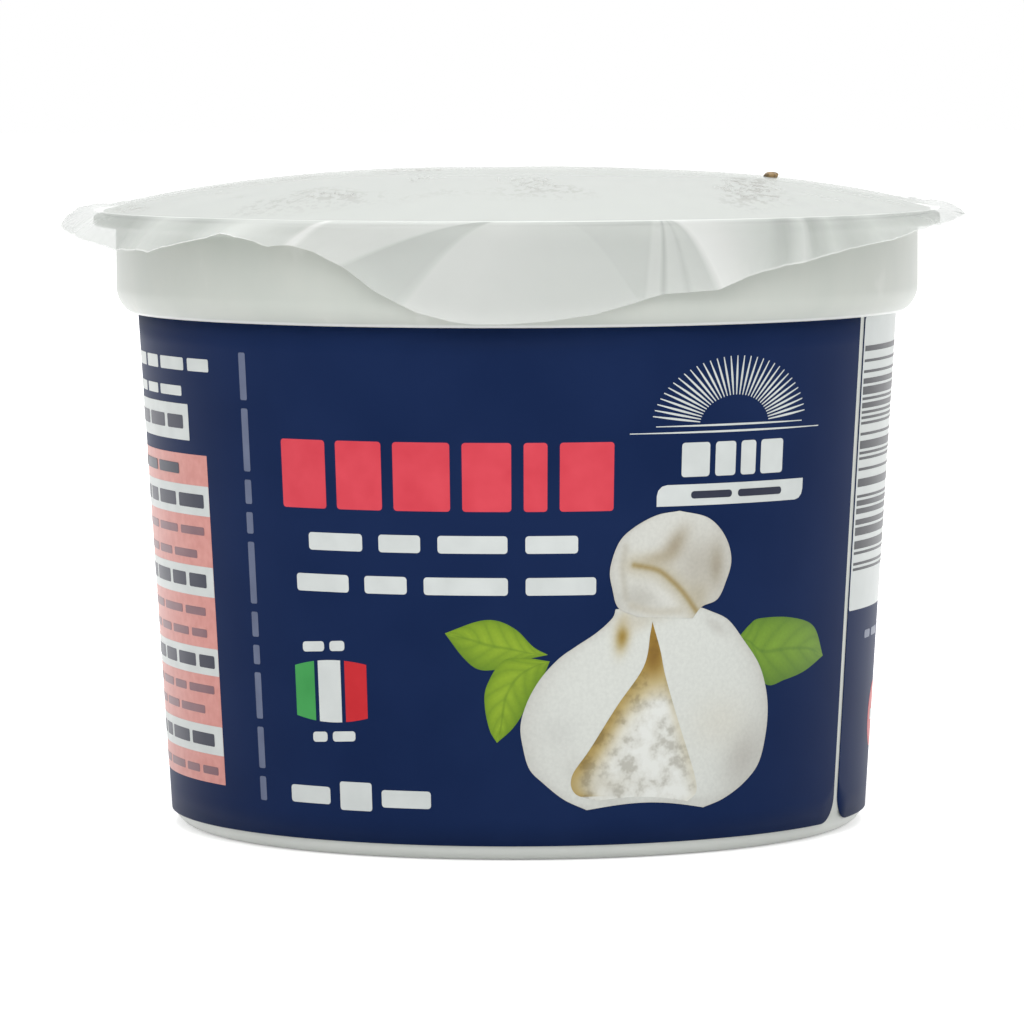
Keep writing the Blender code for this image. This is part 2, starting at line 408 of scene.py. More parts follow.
fan = []
fan_centre = np.array([MARK_MIDDLE, FAN_FOOT])
for angle in np.radians(np.linspace(-80, 80, 33)):
    ray = np.array([math.sin(angle) * FAN_STRETCH, math.cos(angle)])
    fan.append(stroke(fan_centre + ray * FAN_INNER, fan_centre + ray * FAN_OUTER, 0.24))
for height, half in ((46.1, 12.4), (46.8, 9.5)):
    fan.append(stroke((MARK_MIDDLE - half, height), (MARK_MIDDLE + half, height), 0.22, 0.0, 24))
print_patches("mark_fan", fan, white_ink)
print_patches("mark_blocks", word_blocks(17.8, 31.0, 41.3, 45.0, (3.4, 2.6, 2.0, 3.2), 0.7), white_ink)


def plate(left, right, low, high, corner):
    """A plate whose upper left and lower right corners alone are rounded."""
    whole = block(left, right, low, high, corner)
    across = whole[0, :, 0]
    whole[0, :, 1] = np.where(across < (left + right) / 2, low, whole[0, :, 1])
    whole[1, :, 1] = np.where(across > (left + right) / 2, high, whole[1, :, 1])
    return whole


print_patches("mark_plate", [plate(15.0, 34.4, 38.2, 40.5, 1.3)], white_ink)
dark_ink = satin("dark_ink", (38, 42, 60), (48, 52, 68), 300)
print_patches("plate_line", word_blocks(19.0, 31.0, 38.95, 39.75, (5, 6), 0.8), dark_ink, 0.04)

# ---------------------------------------------------------------------------------------------
# The printed picture: a ball of burrata tied in a knot at the top and cut open at the front so
# that the curd shows, between basil leaves. Each part is one shape with its own soft shading.
# ---------------------------------------------------------------------------------------------


def smooth_line(points, steps):
    """A smooth curve through the given points: each stretch is the cubic whose slope at a point
    runs parallel to the line between its two neighbours."""
    points = np.array(points, float)
    padded = np.vstack([2 * points[0] - points[1], points, 2 * points[-1] - points[-2]])
    place = np.linspace(0, len(points) - 1, steps)
    index = np.minimum(place.astype(int), len(points) - 2)
    share = (place - index)[:, None]
    before, here, there, after = (padded[index + k] for k in range(4))
    return 0.5 * (2 * here + (there - before) * share
                  + (2 * before - 5 * here + 4 * there - after) * share**2
                  + (3 * here - before - 3 * there + after) * share**3)


def ruled(side_a, side_b, rows, columns):
    """A patch ruled between two smooth sides, with the share down and the share across."""
    first, second = smooth_line(side_a, rows)[:, None], smooth_line(side_b, rows)[:, None]
    across = np.linspace(0, 1, columns)[None, :, None]
    down = np.linspace(0, 1, rows)[:, None]
    return first * (1 - across) + second * across, down + 0 * across[..., 0], across[..., 0] + 0 * down


def blob(patch, place, size, lean=0.0):
    """A soft spot: one at its place, fading as a bell over its size, turned by lean degrees."""
    turn = math.radians(lean)
    away = patch - np.array(place)
    along = away[..., 0] * math.cos(turn) + away[..., 1] * math.sin(turn)
    across = away[..., 1] * math.cos(turn) - away[..., 0] * math.sin(turn)
    return np.exp(-((along / size[0]) ** 2) - (across / size[1]) ** 2)


def tinted(colour, *layers):
    """A colour with others laid over it in turn, each by its own share at every point."""
    result = np.array(colour, float)
    for share, layer in layers:
        share = np.clip(share, 0, 1)[..., None]
        result = result * (1 - share) + np.array(layer, float) * share
    return result


picture_ink, tree, shader = new_material("picture_ink", 0.34, 0.25)
picture_colour = add_node(tree, "ShaderNodeAttribute", attribute_name="ink")
grain = add_node(tree, "ShaderNodeMix", data_type="RGBA", blend_type="MULTIPLY", inputs={"Factor": 1.0})
tree.links.new(picture_colour.outputs["Color"], grain.inputs[6])
tree.links.new(ramp(tree, object_noise(tree, 2600, 1), [
    (0.3, (0.93, 0.93, 0.93, 1)), (0.7, (1, 1, 1, 1))]), grain.inputs[7])
tree.links.new(grain.outputs[2], shader.inputs["Base Color"])


def print_picture(name, patch, colours, lift):
    """One shaded shape: its colours, 0 to 255, are kept on its points as the attribute ink."""
    piece = print_patches(name, [patch], picture_ink, lift)
    points = np.empty(len(piece.data.vertices) * 3, np.float32)
    piece.data.vertices.foreach_get("co", points)
    share = np.asarray(colours, float).reshape(-1, 3) / 255
    values = np.where(share <= 0.04045, share / 12.92, ((share + 0.055) / 1.055) ** 2.4)
    first = points.reshape(-1, 3)[0] / MM
    if np.linalg.norm(first - on_wall(*patch[0, 0], lift)) > 0.01:
        values = values.reshape(*patch.shape[:2], 3)[::-1].reshape(-1, 3)
    values = np.hstack([values, np.ones((len(values), 1))]).astype(np.float32)
    piece.data.attributes.new("ink", "FLOAT_COLOR", "POINT").data.foreach_set("color", values.ravel())
    return piece


LEAF_DARK, LEAF_LIGHT, LEAF_MID = (82, 118, 14), (150, 178, 44), (116, 148, 20)


def leaf(name, side_a, side_b, lift, shade=(1.0, 1.0, 1.0)):
    """A leaf from its stalk to its tip: paler between the side veins and darker along the veins
    and the rim, the veins running forward from the middle one."""
    patch, down, across = ruled(side_a, side_b, 60, 40)
    off = np.abs(across - 0.5) * 2
    veins = np.abs(((down * 6.5 - off * 1.4) % 1) - 0.5) * 2
    colours = tinted(LEAF_MID, (0.6 * np.sin(math.pi * down) * (1 - off**2), LEAF_LIGHT),
                     (0.35 * (1 - veins) ** 4, LEAF_DARK), (0.5 * veins**6 * (1 - off), LEAF_LIGHT),
                     (0.45 * np.exp(-((off / 0.06) ** 2)), LEAF_DARK),
                     (0.6 * np.clip(across * 1.4 - 0.7, 0, 1), LEAF_DARK), (0.4 * off**8, LEAF_DARK))
    return print_picture(name, patch, colours * np.array(shade), lift)


leaf("leaf_upper", [(3.2, 22.5), (1.6, 23.4), (-0.2, 25.2), (-2.3, 26.2), (-4.5, 26.1), (-8.0, 24.8)],
     [(3.2, 22.5), (0.9, 22.0), (-1.6, 21.1), (-4.2, 20.9), (-6.0, 22.2), (-8.0, 24.8)], 0.02)
leaf("leaf_lower",
     [(3.4, 21.8), (0.5, 22.2), (-1.8, 21.8), (-3.5, 19.1), (-3.7, 16.9), (-3.2, 14.4), (-2.4, 13.0)],
     [(3.4, 21.8), (2.7, 20.2), (1.6, 18.4), (0.9, 17.3), (0.3, 15.9), (-0.8, 14.4), (-2.4, 13.0)], 0.03)
leaf("leaf_right", [(25.7, 23.6), (27.2, 24.9), (28.7, 25.5), (33.4, 25.3), (37.7, 24.0), (39.9, 20.6)],
     [(25.7, 23.6), (27.4, 21.2), (30.0, 18.2), (33.0, 18.5), (36.4, 19.2), (39.9, 20.6)],
     0.02, (0.82, 0.9, 0.92))

patch, down, across = ruled(
    [(20.1, 27.3), (21.8, 26.7), (24.2, 25.6), (26.4, 23.3), (28.7, 20.6), (29.9, 18.0), (30.4, 15.4),
     (30.2, 12.5), (29.3, 9.6), (27.2, 7.6), (24.4, 6.1), (21.7, 5.3)],
    [(10.6, 27.3), (10.2, 26.3), (8.5, 24.8), (6.3, 23.4), (4.3, 22.0), (2.3, 19.8), (0.9, 17.3),
     (0.2, 14.8), (0.5, 12.3), (1.2, 10.1), (2.7, 8.6), (5.0, 6.8), (7.6, 5.6)], 130, 120)
patch[..., 1] += 0.75 * np.sin(math.pi * across) * down**10
rim = np.abs(2 * across - 1)
CURD_WHITE, SOFT_GREY, CREAM = (214, 217, 211), (176, 174, 167), (205, 200, 184)
print_picture("cheese_ball", patch, tinted(
    CURD_WHITE,
    (0.5 * rim**9, SOFT_GREY),
    (0.75 * blob(patch, (27.0, 10.4), (3.6, 2.6), 60), SOFT_GREY),
    (0.35 * blob(patch, (23.5, 14.5), (4.0, 3.0)), CREAM),
    (0.5 * blob(patch, (4.4, 14.2), (2.2, 1.8)), (198, 200, 195)),
    (0.5 * blob(patch, (9.0, 8.2), (4.0, 1.6), -35), SOFT_GREY),
    (0.55 * blob(patch, (11.5, 24.9), (1.2, 2.2), -8), CREAM),
    (0.95 * blob(patch, (11.4, 24.5), (0.7, 1.6), -8), (146, 116, 40)),
    (0.6 * blob(patch, (12.6, 25.6), (1.6, 0.9)), CREAM),
    (0.5 * blob(patch, (22.6, 25.0), (1.6, 0.6), -35), SOFT_GREY),
    (0.5 * blob(patch, (14.0, 26.2), (3.5, 0.9), 8), (190, 186, 170)),
    (0.45 * blob(patch, (17.2, 6.0), (6.0, 0.7)), SOFT_GREY)), 0.04)

curd_ink = picture_ink.copy()
curd_ink.name = "curd_ink"
tree = curd_ink.node_tree
curd_mix = next(node for node in tree.nodes if node.type == "MIX")
curd_light = ramp(tree, object_noise(tree, 520, 3, (1, 1, 1), 0.6), [
    (0.36, (0.66, 0.64, 0.6, 1)), (0.47, (0.93, 0.92, 0.9, 1)), (0.6, (1.04, 1.04, 1.04, 1))])
tree.links.new(curd_light, curd_mix.inputs[7])
patch, down, across = ruled(
    [(14.8, 25.8), (14.6, 24.6), (13.9, 21.0), (10.9, 16.8),
     (7.9, 12.2), (5.9, 9.3), (6.3, 7.4), (8.8, 6.6)],
    [(14.8, 25.8), (15.8, 22.7), (16.5, 19.8), (18.0, 15.4),
     (19.4, 11.7), (20.5, 8.7), (20.7, 7.0), (19.6, 6.1)],
    120, 90)
patch[..., 1] += 0.5 * np.sin(math.pi * across) * down**10
inside = np.clip((22.6 - patch[..., 1]) / 5.5, 0, 1)
near_left = np.exp(-((across * (1 + 6 * down) / 0.75) ** 2))
near_right = np.exp(-(((1 - across) * (1 + 6 * down) / 0.4) ** 2))
inside_patch = print_picture("cheese_inside", patch, tinted(
    (146, 112, 30),
    (inside**1.3, (220, 222, 217)),
    (0.8 * near_left * (down < 0.9), (150, 120, 46)),
    (0.55 * blob(patch, (13.2, 18.6), (1.5, 2.6), -30), (186, 168, 116)),
    (0.5 * near_right * np.clip(1.2 - down, 0, 1), (172, 158, 116)),
    (0.45 * blob(patch, (9.0, 8.4), (3.4, 1.2)), (188, 184, 168)),
    (0.85 * blob(patch, (15.0, 22.0), (0.9, 1.8)), (122, 90, 28))), 0.06)
inside_patch.data.materials[0] = curd_ink

patch, down, across = ruled(
    [(17.7, 37.7), (21.2, 36.8), (23.4, 34.7), (24.3, 32.1),
     (23.6, 29.6), (22.6, 27.9), (20.7, 27.2), (19.6, 26.0)],
    [(17.7, 37.7), (15.0, 37.3), (12.4, 36.0), (10.8, 34.4),
     (9.9, 31.6), (10.2, 29.4), (10.9, 27.4), (13.0, 26.4)],
    110, 90)
rim = np.abs(2 * across - 1)


def near_line(patch, points, width):
    """One on a smooth line through the points, fading as a bell over the width."""
    away = [np.hypot(patch[..., 0] - x, patch[..., 1] - y) for x, y in smooth_line(points, 60)]
    return np.exp(-((np.min(away, axis=0) / width) ** 2))


crease = [(12.6, 32.0), (15.2, 31.4), (16.8, 30.3), (18.4, 28.8), (20.0, 26.8)]
print_picture("cheese_knot", patch, tinted(
    (211, 212, 205),
    (0.55 * rim**10, SOFT_GREY),
    (0.7 * blob(patch, (20.2, 31.8), (3.2, 3.0), 35), (172, 167, 154)),
    (0.75 * blob(patch, (17.2, 34.0), (1.0, 2.1), -35), (152, 140, 116)),
    (0.6 * blob(patch, (15.2, 32.7), (2.2, 0.8), 12), (164, 152, 126)),
    (0.65 * blob(patch, (22.4, 31.6), (1.0, 2.4)), (148, 138, 118)),
    (0.6 * blob(patch, (20.4, 28.6), (1.4, 1.6)), (170, 162, 140)),
    (0.6 * blob(patch, (13.2, 28.4), (2.4, 1.5)), (174, 172, 162)),
    (0.5 * near_line(patch, [(11.6, 34.0), (11.3, 31.5), (11.7, 28.5)], 0.4), (176, 172, 158)),
    (0.7 * blob(patch, (16.2, 28.7), (2.6, 0.8), -38), (219, 220, 214)),
    (0.55 * near_line(patch, crease, 1.15), (176, 166, 138)),
    (0.75 * near_line(patch, crease, 0.3), (146, 124, 70)),
    (0.5 * near_line(patch, [(12.4, 27.6), (15.0, 26.9), (18.0, 26.9)], 0.5), (184, 178, 160))), 0.08)

# ---------------------------------------------------------------------------------------------
# The table at the label's left end: a coral panel with white rows and dark lines, under two
# lines of small print and a white box. It runs on round the side.
# ---------------------------------------------------------------------------------------------
TABLE_LEFT, TABLE_RIGHT = degrees_along(-104), degrees_along(-54.5)
table_ink = satin("table_ink", (205, 137, 129), (215, 150, 142), 900)
print_patches("table_panel", [block(TABLE_LEFT, TABLE_RIGHT, 6.5, 42.8, 0.1)], table_ink)
table_rows = [(36.1, 39.4), (27.2, 30.5), (18.5, 21.5), (9.7, 12.9)]
print_patches("table_rows", [block(TABLE_LEFT, TABLE_RIGHT, low, high, 0.1) for low, high in table_rows]
              + [block(TABLE_LEFT, degrees_along(-59.2), 44.3, 48.3, 0.1)], white_ink, 0.04)


def table_line(middle, right, height, rng):
    """Words of one table line, from its right end to its left, thinning with the row's height."""
    right, blocks = degrees_along(right), []
    while right > TABLE_LEFT + 4:
        left = max(right - rng.uniform(3.2, 7.0), TABLE_LEFT + 0.6)
        blocks.append(block(left, right, middle - height / 2, middle + height / 2, 0.2))
        right = left - 0.9
    return blocks


rng = np.random.default_rng(23)
dark_lines, thin_lines, pale_lines = [], [], []
for middle, right, height in ((37.7, -56.0, 1.5), (28.9, -56.6, 1.5), (20.0, -55.6, 1.4),
                              (11.3, -57.0, 1.4), (41.1, -63.5, 1.2), (46.3, -61.0, 1.5)):
    dark_lines += table_line(middle, right, height, rng)
for middle, right in ((34.4, -56.4), (31.8, -59.0), (25.5, -57.4), (23.1, -57.4), (16.9, -56.2),
                      (14.6, -59.5), (7.9, -56.4)):
    thin_lines += table_line(middle, right, 0.9, rng)
for middle, right, height in ((52.7, -52.7, 1.4), (49.7, -61.0, 1.1)):
    pale_lines += table_line(middle, right, height, rng)
print_patches("table_dark_lines", dark_lines, dark_ink, 0.06)
table_text = satin("table_text", (122, 88, 96), (134, 98, 104), 300)
print_patches("table_thin_lines", thin_lines, table_text, 0.04)
print_patches("list_lines", pale_lines, white_ink)

# ---------------------------------------------------------------------------------------------
# The other end of the label, past the gap: a white panel with a stack of plain stripes, then
# navy again with a faint line and a red disc.
# ---------------------------------------------------------------------------------------------
PANEL_LEFT, PANEL_RIGHT = gap_along + GAP_WIDTH / 2 + 0.12, degrees_along(99)
panel_ink = satin("panel_ink", (206, 211, 209), (213, 218, 216), 200)
print_patches("stripe_panel", [block(PANEL_LEFT, PANEL_RIGHT, 25.0, LABEL_TOP - 0.05, 0.3)], panel_ink)
rng = np.random.default_rng(5)
stripes, height = [], 54.3
while height > 28.9:
    depth = rng.choice([0.3, 0.3, 0.6, 0.9])
    slant = 0.5 * (54.3 - height) / 25
    stripes.append(block(PANEL_LEFT + 0.35 + slant * 0.2, degrees_along(93), height - depth, height, 0.05))
    height -= depth + rng.choice([0.3, 0.3, 0.6, 0.9])
stripe_ink = satin("stripe_ink", (52, 55, 60), (64, 67, 72), 300)
print_patches("stripes", stripes, stripe_ink, 0.04)
print_patches("faint_line", word_blocks(
    degrees_along(72), degrees_along(96), 21.5, 22.4, (3, 5, 4, 5), 0.8), pale_ink)
DISC_MIDDLE = degrees_along(84)
DISC_HEIGHT = 12.3
disc_angle = np.linspace(-math.pi / 2, math.pi / 2, 16)


def disc(middle, height, size):
    """A round disc as a band between its lower and its upper half circle."""
    across = middle + size * np.sin(disc_angle)
    return np.stack([np.stack([across, height - size * np.cos(disc_angle)], 1),
                     np.stack([across, height + size * np.cos(disc_angle)], 1)])


print_patches("red_disc", [disc(DISC_MIDDLE, DISC_HEIGHT, 3.7)], red_ink)
print_patches("disc_blocks", [block(
    DISC_MIDDLE - 1.9, DISC_MIDDLE + 1.9, DISC_HEIGHT - 0.6, DISC_HEIGHT + 0.6)], white_ink, 0.04)

# ---------------------------------------------------------------------------------------------
# The lid film: one thin clear sheet heat sealed to the flange and domed by the gas under it.
# Its cut edge hangs past the flange as a ragged skirt, and at the front its pull tab is folded
# down over the collar in flat creased facets.
# ---------------------------------------------------------------------------------------------
_, film_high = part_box("lid_film")
FILM_CREST = film_high.z / MM
FILM_RIM = (47.35, 69.05)
FILM_BEND = (48.1, 68.9)
DOME_POWER = 2.8
FILM_COLUMNS = 720
FILM_THICKNESS = 0.06
# The cut edge: azimuth in degrees from the front, radius and height in millimetres.
CUT_EDGE = np.array([
    (-180, 49.5, 68.0), (-150, 50.3, 68.9), (-120, 50.9, 69.3), (-104, 51.1, 69.0), (-90, 51.2, 67.4),
    (-80, 51.0, 66.9),
    (-72, 50.5, 66.2), (-66, 50.1, 65.8), (-61, 50.0, 65.3), (-53, 50.0, 65.5), (-48, 50.0, 66.1),
    (-43, 50.0, 66.9), (-38.5, 50.0, 67.6), (-36, 49.5, 67.1), (-33, 48.5, 66.2), (-30, 48.0, 66.4),
    (-27, 47.5, 65.7), (-22.8, 47.0, 64.0), (-18.8, 46.8, 61.5), (-13.3, 46.3, 59.3), (-9, 46.0, 58.4),
    (-6, 45.7, 58.1), (-2, 45.7, 58.1), (4, 46.0, 58.4), (10, 46.1, 59.1), (16, 46.4, 60.4),
    (19.5, 46.5, 61.2), (27, 47.0, 61.5), (31, 47.1, 62.8), (35, 47.4, 63.6), (40, 47.8, 64.3),
    (44, 48.5, 65.1), (49, 49.0, 65.7), (55, 49.6, 66.4), (60, 50.0, 67.2), (79, 50.4, 68.4),
    (90, 50.5, 68.2), (104, 50.4, 69.2), (120, 50.5, 69.5), (150, 50.2, 68.8),
])
# Creases of the hanging film: azimuth at the rim and at the cut edge, how far each stands out,
# and how milky the film is there, which also paints its light and shade: the dark facets get low
# values as painted shade, and the bright facet gets values near 1 as a painted highlight.
CREASES = np.array([
    (-180, -180, 0.0, 0.33), (-150, -152, 0.4, 0.4), (-130, -127, -0.1, 0.3), (-104, -106, 0.3, 0.38),
    (-84, -83, 0.0, 0.3), (-72, -74, 0.2, 0.42), (-60, -61, -0.1, 0.42), (-52, -55, 0.25, 0.6),
    (-44, -46, -0.1, 0.48), (-36, -37.5, 0.2, 0.62), (-25.2, -31.2, 0.3, 0.58), (-24.4, -30.0, 0.35, 0.85),
    (-23.6, -29.0, 0.3, 0.62), (-14, -26, 0.2, 0.64), (-3.3, -23.8, 0.25, 0.64), (-3.0, -23.3, 0.25, 0.53),
    (-2.5, -15.8, -0.15, 0.55), (-2.2, -15.3, -0.15, 0.64), (0, -8, 0.1, 0.64), (2.5, 5, 0.15, 0.6),
    (5.2, 15.8, 0.15, 0.58), (5.6, 16.1, 0.15, 0.56), (17.4, 16.8, -0.1, 0.55), (17.7, 17.2, -0.1, 0.6),
    (18.4, 18.9, 0.1, 0.6), (18.6, 19.3, 0.1, 0.46), (18.8, 19.7, 0.05, 0.6), (19.0, 22.8, -0.05, 0.58),
    (19.15, 23.2, -0.15, 0.44), (19.3, 23.7, -0.05, 0.58), (19.5, 26.9, -0.05, 0.56),
    (19.9, 27.6, 0.05, 0.78),
    (27, 31, 0.25, 0.65), (34, 34.2, 0.15, 0.55), (36.4, 37.2, -0.1, 0.46), (39.2, 40.0, 0.25, 0.62),
    (40.6, 42, -0.1, 0.44), (43.5, 44.5, 0.2, 0.56), (47, 48, -0.05, 0.48), (52, 53, 0.15, 0.55),
    (60, 60, 0.05, 0.45), (84, 83, 0.0, 0.3), (104, 106, 0.3, 0.38), (128, 126, -0.1, 0.3),
    (150, 152, 0.3, 0.4), (180, 180, 0.0, 0.33),
])

# The columns follow the creases, so that each fold is one clean line from the rim to the edge.
between = (CREASES[:, 0] + CREASES[:, 1]) / 2
column = np.linspace(-180, 180, FILM_COLUMNS, endpoint=False)
rim_turn, edge_turn, stand_out, crease_haze_and_painted_light = (
    np.interp(column, between, CREASES[:, k]) for k in range(4))
rng = np.random.default_rng(7)
edge_radius = np.interp(edge_turn, CUT_EDGE[:, 0], CUT_EDGE[:, 1], period=360)
edge_height = np.interp(edge_turn, CUT_EDGE[:, 0], CUT_EDGE[:, 2], period=360)
torn = np.clip((np.abs(edge_turn) - 26) / 10, 0.2, 1)
jagged = rng.normal(0, 1, FILM_COLUMNS)
jagged = sum(np.roll(jagged, k) for k in range(5)) / 5
edge_radius = edge_radius + 0.12 * torn * jagged
edge_height = edge_height + 0.16 * torn * np.roll(jagged, 7)


def dome_height(share):
    """Height over the rim plane: one minus the share of the radius to the power 2.8, scaled."""
    return FILM_RIM[1] + (FILM_CREST - FILM_RIM[1]) * (1 - share**DOME_POWER)


rim_azimuth, edge_azimuth = np.radians(rim_turn), np.radians(edge_turn)
dome_share = np.concatenate([np.linspace(0.02, 0.9, 24), np.linspace(0.91, 1.0, 13)])[:, None]
drawn = 0.03 + 0.09 * np.exp(-(((rim_turn - 52) / 24) ** 2))
near_rim = np.exp(-(((dome_share - 0.86) / 0.1) ** 2))
tension = drawn * np.sin(34 * rim_azimuth + 2 * np.sin(3 * rim_azimuth)) * near_rim
slack = 0.12 * np.sin(5 * rim_azimuth + 0.6) * dome_share**2 * (1 - dome_share) * 4
dome = round_axis(rim_azimuth, FILM_RIM[0] * dome_share, dome_height(dome_share) + tension + slack)

skirt_step = np.linspace(0, 1, 28)[1:, None]
knee = (0.45 * FILM_BEND[0] + 0.55 * edge_radius, 0.45 * FILM_BEND[1] + 0.55 * edge_height)
weights = ((1 - skirt_step) ** 3, 3 * skirt_step * (1 - skirt_step) ** 2,
           3 * skirt_step**2 * (1 - skirt_step), skirt_step**3)
skirt_radius = (weights[0] * FILM_RIM[0] + weights[1] * FILM_BEND[0] + weights[2] * knee[0]
                + weights[3] * edge_radius + stand_out * np.minimum(skirt_step * 2.5, 1))
skirt_height = (weights[0] * FILM_RIM[1] + weights[1] * FILM_BEND[1] + weights[2] * knee[1]
                + weights[3] * edge_height)
skirt = round_axis(rim_azimuth * (1 - skirt_step) + edge_azimuth * skirt_step, skirt_radius, skirt_height)

rings = np.concatenate([dome, skirt])
film_points = np.vstack([rings.reshape(-1, 3), [[0, 0, FILM_CREST]]])
first = np.arange(FILM_COLUMNS)
film_faces = [*map(tuple, grid_faces(len(rings), FILM_COLUMNS, closed=True)[:, ::-1])]
film_faces += [*zip((first + 1) % FILM_COLUMNS, np.full(FILM_COLUMNS, len(film_points) - 1), first)]

film, tree, shader = new_material("clear_film", 0.26, 0.35)
# The attribute sets the film's tone and cover. It holds the film's own haze, and also painted shade on the
# dark facets and painted highlights on the bright facet, along the bend over the flange and along the torn
# edge.
haze_and_painted_light = add_node(tree, "ShaderNodeAttribute", attribute_name="haze_and_painted_light")
clean = ramp(tree, haze_and_painted_light.outputs["Fac"], [
    (0.0, linear(128, 131, 127)), (0.35, linear(178, 183, 179)), (0.45, linear(203, 208, 203)),
    (0.55, linear(222, 226, 222)), (0.7, linear(238, 240, 237)), (1.0, linear(250, 252, 250))])
cover = ramp(tree, haze_and_painted_light.outputs["Fac"], [
    (0.0, (0.45, 0.45, 0.45, 1)), (0.35, (0.5, 0.5, 0.5, 1)), (0.5, (0.42, 0.42, 0.42, 1)),
    (1.0, (0.85, 0.85, 0.85, 1))])
BLACK_STOP, WHITE_STOP = (0, 0, 0, 1), (1, 1, 1, 1)
specks = ramp(tree, object_noise(tree, 1100, 3, (1, 0.5, 0.3), 0.7), [
    (0.48, BLACK_STOP), (0.58, WHITE_STOP)])
patches = ramp(tree, object_noise(tree, 70, 2, (1, 0.7, 0.3)), [(0.52, BLACK_STOP), (0.66, WHITE_STOP)])
where = add_node(tree, "ShaderNodeTexCoord")
split = add_node(tree, "ShaderNodeSeparateXYZ")
tree.links.new(where.outputs["Object"], split.inputs["Vector"])
back = add_node(tree, "ShaderNodeMapRange", inputs={"From Min": -0.04, "From Max": -0.012, "To Max": 0.85})
tree.links.new(split.outputs["Y"], back.inputs["Value"])
soil = add_node(tree, "ShaderNodeMath", operation="MULTIPLY")
tree.links.new(specks, soil.inputs[0])
tree.links.new(patches, soil.inputs[1])
smudge = add_node(tree, "ShaderNodeMath", operation="MULTIPLY")
tree.links.new(soil.outputs[0], smudge.inputs[0])
tree.links.new(back.outputs["Result"], smudge.inputs[1])
off_axis = add_node(tree, "ShaderNodeCombineXYZ")
tree.links.new(split.outputs["X"], off_axis.inputs["X"])
tree.links.new(split.outputs["Y"], off_axis.inputs["Y"])
out = add_node(tree, "ShaderNodeVectorMath", operation="LENGTH")
tree.links.new(off_axis.outputs["Vector"], out.inputs[0])
on_dome = add_node(tree, "ShaderNodeMapRange", inputs={"From Min": 0.0472, "From Max": 0.0455})
tree.links.new(out.outputs["Value"], on_dome.inputs["Value"])
soiled = add_node(tree, "ShaderNodeMath", operation="MULTIPLY")
tree.links.new(smudge.outputs[0], soiled.inputs[0])
tree.links.new(on_dome.outputs["Result"], soiled.inputs[1])
tint = add_node(tree, "ShaderNodeMix", data_type="RGBA", inputs={7: linear(116, 104, 88)})
tree.links.new(soiled.outputs[0], tint.inputs["Factor"])
tree.links.new(clean, tint.inputs[6])
tree.links.new(tint.outputs[2], shader.inputs["Base Color"])
solid = add_node(tree, "ShaderNodeMath", operation="MAXIMUM")
tree.links.new(cover, solid.inputs[0])
tree.links.new(soiled.outputs[0], solid.inputs[1])
tree.links.new(solid.outputs[0], shader.inputs["Alpha"])
lid = make_mesh("lid_sheet", film_points, film_faces, film, "clear_film")
rise = np.minimum(skirt_step * 4, 1)
skirt_haze_and_painted_light = crease_haze_and_painted_light * rise + np.maximum(crease_haze_and_painted_light, 0.4) * (1 - rise)
# Painted highlight: the torn parts of the cut edge are made whiter, standing for the light they catch.
painted_torn_edge_highlight = np.clip((np.abs(edge_turn) - 30) / 6, 0, 1)
skirt_haze_and_painted_light[-1] = skirt_haze_and_painted_light[-1] * (1 - painted_torn_edge_highlight) + 0.8 * painted_torn_edge_highlight
far_side = np.clip((np.abs(rim_turn) - 80) / 15, 0, 1)
# Painted highlight: a white line along the bend over the flange's edge, where the film catches the light
# from above.
skirt_haze_and_painted_light[0] = 0.9
skirt_haze_and_painted_light[:5] = skirt_haze_and_painted_light[:5] * (1 - far_side) + 0.25 * far_side
dome_milk = np.full(dome.shape[:2], 0.59)
dome_milk[-4:] -= 0.2 * far_side
film_haze_and_painted_light = np.append(np.concatenate([dome_milk, skirt_haze_and_painted_light]).ravel(), 0.59).astype(np.float32)
lid.data.attributes.new("haze_and_painted_light", "FLOAT", "POINT").data.foreach_set("value", film_haze_and_painted_light)
thickness = lid.modifiers.new("thickness", "SOLIDIFY")
thickness.thickness = FILM_THICKNESS * MM
thickness.offset = -1
edges = lid.modifiers.new("edges", "EDGE_SPLIT")
edges.split_angle = math.radians(50)
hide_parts("lid_film")

# ---------------------------------------------------------------------------------------------
# What fills the tub: pale cheese and whey that stand up against the inside of the domed film and
# show through it as one even milky white.
# ---------------------------------------------------------------------------------------------
FILL_RADIUS = 46.4
FILL_GAP = 0.35
milky_white, tree, shader = new_material("pale_fill", 0.5, 0.3)
tree.links.new(ramp(tree, object_noise(tree, 60, 2), [
    (0.35, linear(206, 211, 206)), (0.65, linear(214, 218, 213))]), shader.inputs["Base Color"])
fill_share = np.linspace(0.03, FILL_RADIUS / FILM_RIM[0], 40)
fill_profile = np.vstack([
    np.stack([fill_share * FILM_RIM[0], dome_height(fill_share) - FILL_GAP], 1),
    [[FILL_RADIUS, RIM_HEIGHT + 0.1], [2.0, RIM_HEIGHT + 0.1]]])
fill = make_mesh("pale_fill", *turned(fill_profile, 192), milky_white, "natural_plastic")
fill.data.set_sharp_from_angle(angle=math.radians(40))

